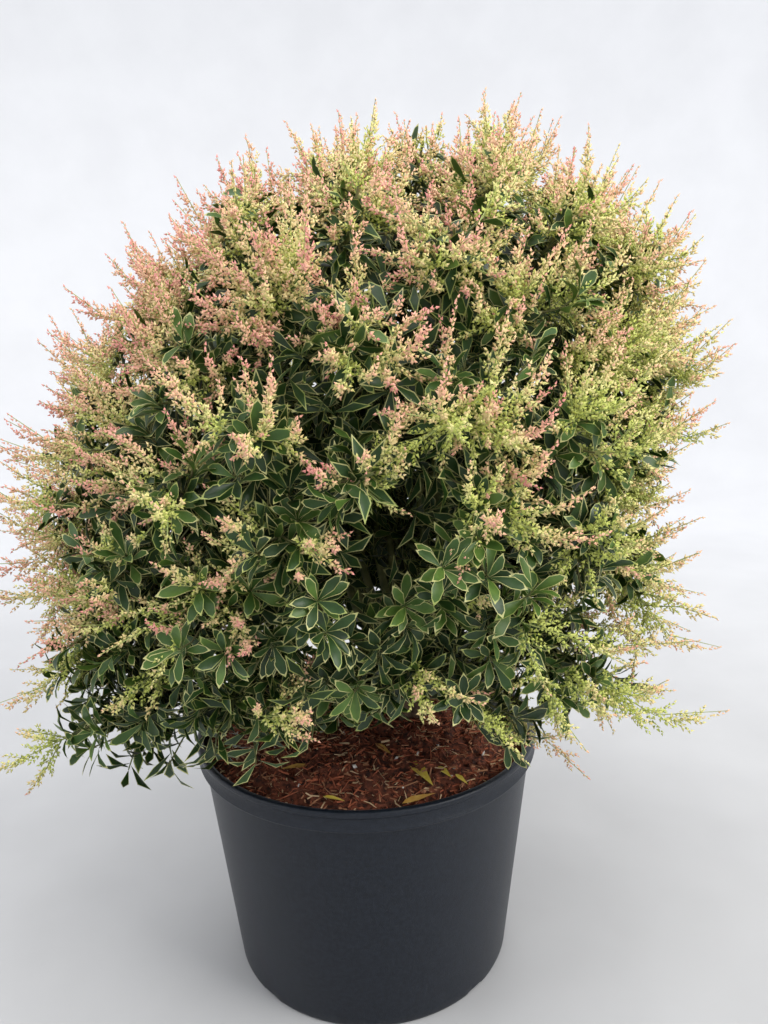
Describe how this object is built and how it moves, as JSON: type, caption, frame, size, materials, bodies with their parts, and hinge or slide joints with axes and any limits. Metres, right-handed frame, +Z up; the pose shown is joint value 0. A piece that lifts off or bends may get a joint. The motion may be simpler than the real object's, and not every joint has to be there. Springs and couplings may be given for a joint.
{
  "type": "pieris shrub in a nursery pot",
  "caption": "Dome-shaped variegated evergreen shrub with blossom spires, on a short leaning trunk, growing in a round dark nursery pot.",
  "frame": {"origin": "centre of the pot's flat underside", "axes": "+Z up; -Y is the front seen in the picture, +X is to the right there"},
  "size_m": [0.6943, 0.6837, 0.8988],
  "materials": {
    "pot_plastic": "matte charcoal moulded plastic, dusty, with a worn rolled rim",
    "soil": "moist red-brown fibrous coir and bark soil mix",
    "bark": "rough grey-brown bark with long cracks",
    "bough_bark": "smooth olive-green young bark, browner at its foot",
    "foliage": "glossy dark green leaves edged in cream, with spires of cream to salmon-pink blossom buds"
  },
  "bodies": {
    "root": {"bough_side_1": "bough_bark", "bough_side_2": "bough_bark", "bough_side_3": "bough_bark", "bough_side_4": "bough_bark", "bough_side_5": "bough_bark", "bough_side_6": "bough_bark", "bough_skirt_1": "bough_bark", "bough_skirt_2": "bough_bark", "bough_skirt_3": "bough_bark", "bough_skirt_4": "bough_bark", "bough_skirt_5": "bough_bark", "bough_top_1": "bough_bark", "bough_upper_1": "bough_bark", "bough_upper_2": "bough_bark", "bough_upper_3": "bough_bark", "bough_upper_4": "bough_bark", "bough_upper_5": "bough_bark", "foliage_side_1": "foliage", "foliage_side_2": "foliage", "foliage_side_3": "foliage", "foliage_side_4": "foliage", "foliage_side_5": "foliage", "foliage_side_6": "foliage", "foliage_skirt_1": "foliage", "foliage_skirt_2": "foliage", "foliage_skirt_3": "foliage", "foliage_skirt_4": "foliage", "foliage_skirt_5": "foliage", "foliage_top_1": "foliage", "foliage_upper_1": "foliage", "foliage_upper_2": "foliage", "foliage_upper_3": "foliage", "foliage_upper_4": "foliage", "foliage_upper_5": "foliage", "pot": "pot_plastic", "soil": "soil", "trunk": "bark"}
  },
  "joints": []
}
